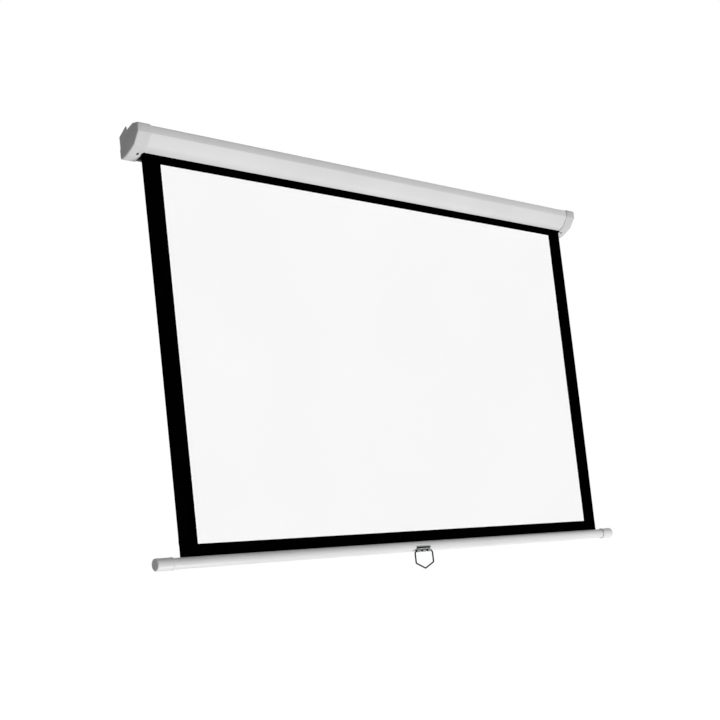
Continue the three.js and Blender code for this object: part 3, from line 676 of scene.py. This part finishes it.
screwLook = {
    "sides": 32,
    "domeSteps": 6,
    "threadPitchMm": 0.9,
    "threadDepthMm": 0.28,
    "tipRadiusShare": 1 / 3,  # of the shank's radius, as the next one
    "tipHeightShare": 0.5,
    "slotLengthShare": 1.15,  # of the head's radius, as the next one
    "slotWidthShare": 0.3,
    "slotDepthShare": 0.6,  # of the head's height
    "slotFootShares": (0.5, 0.6),  # its length and width at the foot against the top
    "smoothDegrees": 40,
}


def makeRecessCutter(head, height, look):
    # two crossed bars that narrow downwards, standing in the head's top
    length, width = head * look["slotLengthShare"], head * look["slotWidthShare"]
    depth = height * look["slotDepthShare"]
    bars = []
    for turn in (0, math.pi / 2):
        deselectAll()
        bpy.ops.mesh.primitive_cube_add(size=1, location=(0, 0, height), rotation=(0, 0, turn))
        bar = bpy.context.object
        bar.scale = (length, width, 2 * depth)  # half of it stands above the head
        bpy.ops.object.mode_set(mode="EDIT")
        bpy.ops.mesh.select_all(action="DESELECT")
        bpy.ops.object.mode_set(mode="OBJECT")
        for vertex in bar.data.vertices:
            vertex.select = vertex.co.z < 0
        bpy.ops.object.mode_set(mode="EDIT")
        bpy.ops.transform.resize(value=(*look["slotFootShares"], 1), orient_type="LOCAL")
        bpy.ops.object.mode_set(mode="OBJECT")
        settle(bar)
        bars.append(bar)
    join = bars[0].modifiers.new("crossed", "BOOLEAN")
    join.operation = "UNION"
    join.object = bars[1]
    applyAll(bars[0])
    bpy.data.objects.remove(bars[1])
    return bars[0]


def makeScrew(name, kind, look):
    # half its section, from the tip up the thread and over the head, spun about Z
    shank, length, head, height = [
        kind[key] * mm for key in ("shankRadiusMm", "lengthMm", "headRadiusMm", "headHeightMm")]
    pitch, depth = look["threadPitchMm"] * mm, look["threadDepthMm"] * mm
    crests = int((length - shank) / pitch)
    outline = [
        (0, -length),
        (shank * look["tipRadiusShare"], -length + shank * look["tipHeightShare"]),
        (shank - depth, -length + shank),
    ]
    for k in range(crests):
        foot = -length + shank + k * pitch
        outline += [(shank, foot + pitch / 2), (shank - depth, foot + pitch)]
    edge = height * (1 - kind["domeShare"])
    outline += [(shank - depth, 0), (head, 0), (head, edge)]
    for k in range(1, look["domeSteps"] + 1):
        angle = math.pi / 2 * k / look["domeSteps"]
        outline.append((head * math.cos(angle), edge + (height - edge) * math.sin(angle)))
    deselectAll()
    bpy.ops.mesh.primitive_circle_add(vertices=len(outline), radius=head)
    piece = bpy.context.object
    piece.name = name
    for vertex, (x, z) in zip(piece.data.vertices, outline):
        vertex.co = (x, 0, z)
    bpy.ops.object.mode_set(mode="EDIT")
    bpy.ops.mesh.select_all(action="SELECT")
    bpy.ops.mesh.spin(steps=look["sides"], angle=2 * math.pi, center=(0, 0, 0), axis=(0, 0, 1))
    closeShell()
    cutter = makeRecessCutter(head, height, look)
    recess = piece.modifiers.new("cross recess", "BOOLEAN")
    recess.operation = "DIFFERENCE"
    recess.object = cutter
    applyAll(piece)
    bpy.data.objects.remove(cutter)
    smoothed(piece, look["smoothDegrees"])
    wearing(piece, kind["finish"])
    return piece


def headSeat(node, digits=2):
    # a screw node's largest flat is the underside of its head: where it is, and the head's way
    flats = {}
    for face in cadNodes[node].data.polygons:
        flats.setdefault(tuple(round(n, digits) for n in face.normal), []).append(face)
    under = max(flats.values(), key=lambda faces: sum(face.area for face in faces))
    area = sum(face.area for face in under)
    middle = sum((face.center * face.area for face in under), Vector()) / area
    return middle, -under[0].normal


for kindName, kind in screwKinds.items():
    pattern = makeScrew(kindName, kind, screwLook)
    for node in kind["nodes"]:
        screw = bpy.data.objects.new(f"{node}_turned", pattern.data.copy())
        bpy.context.scene.collection.objects.link(screw)
        seat, facing = headSeat(node)
        screw.location = seat
        screw.rotation_euler = facing.to_track_quat("Z", "Y").to_euler()
        settle(screw)
        standFor(screw, node)
    bpy.data.objects.remove(pattern)
print("screws driven")

# Rigid pieces that keep the node's shape: the width of their eased edges in mm
easedEdges = {
    "case_shell": 0.3,
    "left_end_cap": 0.5,
    "right_end_cap": 0.5,
    "left_wall_bracket": 0.35,
    "right_wall_bracket": 0.35,
    "spring_end_plate": 0.15,
    "idler_end_plate": 0.15,
    "bottom_bar": 0.25,
    "left_bar_cap": 0.4,
    "right_bar_cap": 0.4,
    "ring_bracket": 0.15,
}
ownFinish = {"bottom_bar": barCoat, "left_bar_cap": barCoat, "right_bar_cap": barCoat}
mergedLook = {
    "weldMm": 0.005,
    "flatDegrees": 0.5,  # faces that turn less than this become one
    "easedFromDegrees": 50,  # edges sharper than this are eased
    "easedSegments": 2,
}


def mergedCopy(node, name, easedMm, settings):
    # the node's own shape, with its faces joined, its edges eased and its curves shaded smooth
    piece = bpy.data.objects.new(name, cadNodes[node].data.copy())
    bpy.context.scene.collection.objects.link(piece)
    activate(piece)
    bpy.ops.object.mode_set(mode="EDIT")
    bpy.ops.mesh.select_all(action="SELECT")
    bpy.ops.mesh.remove_doubles(threshold=settings["weldMm"] * mm)
    bpy.ops.mesh.dissolve_limited(angle_limit=math.radians(settings["flatDegrees"]))
    bpy.ops.object.mode_set(mode="OBJECT")
    if easedMm:
        ease = piece.modifiers.new("eased edges", "BEVEL")
        ease.width = easedMm * mm
        ease.segments = settings["easedSegments"]
        ease.limit_method = "ANGLE"
        ease.angle_limit = math.radians(settings["easedFromDegrees"])
        ease.use_clamp_overlap = True
        applyAll(piece)
    smoothed(piece)
    return piece


remaining = [node for node in cadNodes if not cadNodes[node].hide_render]
for node in remaining:
    piece = mergedCopy(node, f"{node}_finished", easedEdges.get(node, 0), mergedLook)
    wearing(piece, ownFinish.get(node, slotMaterials[slotOf[node]]))
    standFor(piece, node)

# The ring bracket's rolled top edge gets painted reflection and painted shade: its top faces take the dark chrome,
# drawn for the black border that the edge mirrors and the shade under the roll
rolledEdgePaintedShade = {
    "depthMm": 6,
}


def paintRolledEdgeShade(piece, settings):
    top = max(vertex.co.z for vertex in piece.data.vertices)
    piece.data.materials.append(paintedReflectionChrome)
    for face in piece.data.polygons:
        if face.center.z > top - settings["depthMm"] * mm:
            face.material_index = 1  # the painted reflection and shade, added last


paintRolledEdgeShade(bpy.data.objects["ring_bracket_finished"], rolledEdgePaintedShade)
print("rigid pieces eased")

# Floor, backdrop and lights
studio = {
    "floorZ": -2.7,
    "floorSize": 60,
    "floorRoughness": 0.9,
    "white": "#ffffff",
    "ambient": 0.18,
    "floorGlow": 0.67,  # what a direct look at the floor adds to its own light
    "frontStrength": 3.35,
    "frontFrom": (0.22, -0.62, -0.75),  # towards the lamp
    "frontSpreadDegrees": 40,
    "topStrength": 0.5,
    "topFrom": (-0.2, -0.5, 0.84),
    "topSpreadDegrees": 60,
}


def seenDirectly(tree):
    # 1 for rays from the camera, a mirror or glass, 0 for rays that light a surface
    path = addNode(tree, "ShaderNodeLightPath")
    either = addNode(tree, "ShaderNodeMath", {
        0: path.outputs["Is Camera Ray"], 1: path.outputs["Is Glossy Ray"]}, operation="MAXIMUM")
    return addNode(tree, "ShaderNodeMath", {
        0: either.outputs["Value"], 1: path.outputs["Is Transmission Ray"]},
        operation="MAXIMUM").outputs["Value"]


def makeWorld(settings):
    world = bpy.data.worlds.new("white studio")
    world.use_nodes = True
    tree = world.node_tree
    level = addNode(tree, "ShaderNodeMapRange", {
        "Value": seenDirectly(tree), "To Min": settings["ambient"], "To Max": 1.0})
    background = tree.nodes["Background"]
    background.inputs["Color"].default_value = toLinear(settings["white"])
    tree.links.new(level.outputs["Result"], background.inputs["Strength"])
    bpy.context.scene.world = world


def makeFloor(settings):
    deselectAll()
    bpy.ops.mesh.primitive_plane_add(
        size=settings["floorSize"], location=(0, 0, settings["floorZ"]))
    floor = bpy.context.object
    floor.name = "studio_floor"
    settle(floor)
    floor.visible_shadow = False
    material, tree, shader, _ = startMaterial(
        "white studio floor", settings["white"], settings["floorRoughness"])
    lift = addNode(tree, "ShaderNodeMath", {
        0: seenDirectly(tree), 1: settings["floorGlow"]}, operation="MULTIPLY")
    glow = addNode(tree, "ShaderNodeEmission", {
        "Color": toLinear(settings["white"]), "Strength": lift.outputs["Value"]})
    both = addNode(tree, "ShaderNodeAddShader", {
        0: shader.outputs["BSDF"], 1: glow.outputs["Emission"]})
    tree.links.new(both.outputs["Shader"], tree.nodes["Material Output"].inputs["Surface"])
    wearing(floor, material)


def makeSun(name, towards, strength, spreadDegrees):
    # a lamp as wide as its spread, standing in the given direction
    bpy.ops.object.light_add(type="SUN")
    lamp = bpy.context.object
    lamp.name = name
    lamp.rotation_euler = Vector(towards).to_track_quat("Z", "Y").to_euler()
    lamp.data.energy = strength
    lamp.data.angle = math.radians(spreadDegrees)


makeWorld(studio)
makeFloor(studio)
makeSun("front_lamp", studio["frontFrom"], studio["frontStrength"], studio["frontSpreadDegrees"])
makeSun("top_lamp", studio["topFrom"], studio["topStrength"], studio["topSpreadDegrees"])
bpy.context.scene.view_settings.view_transform = "Standard"
print("studio lit")
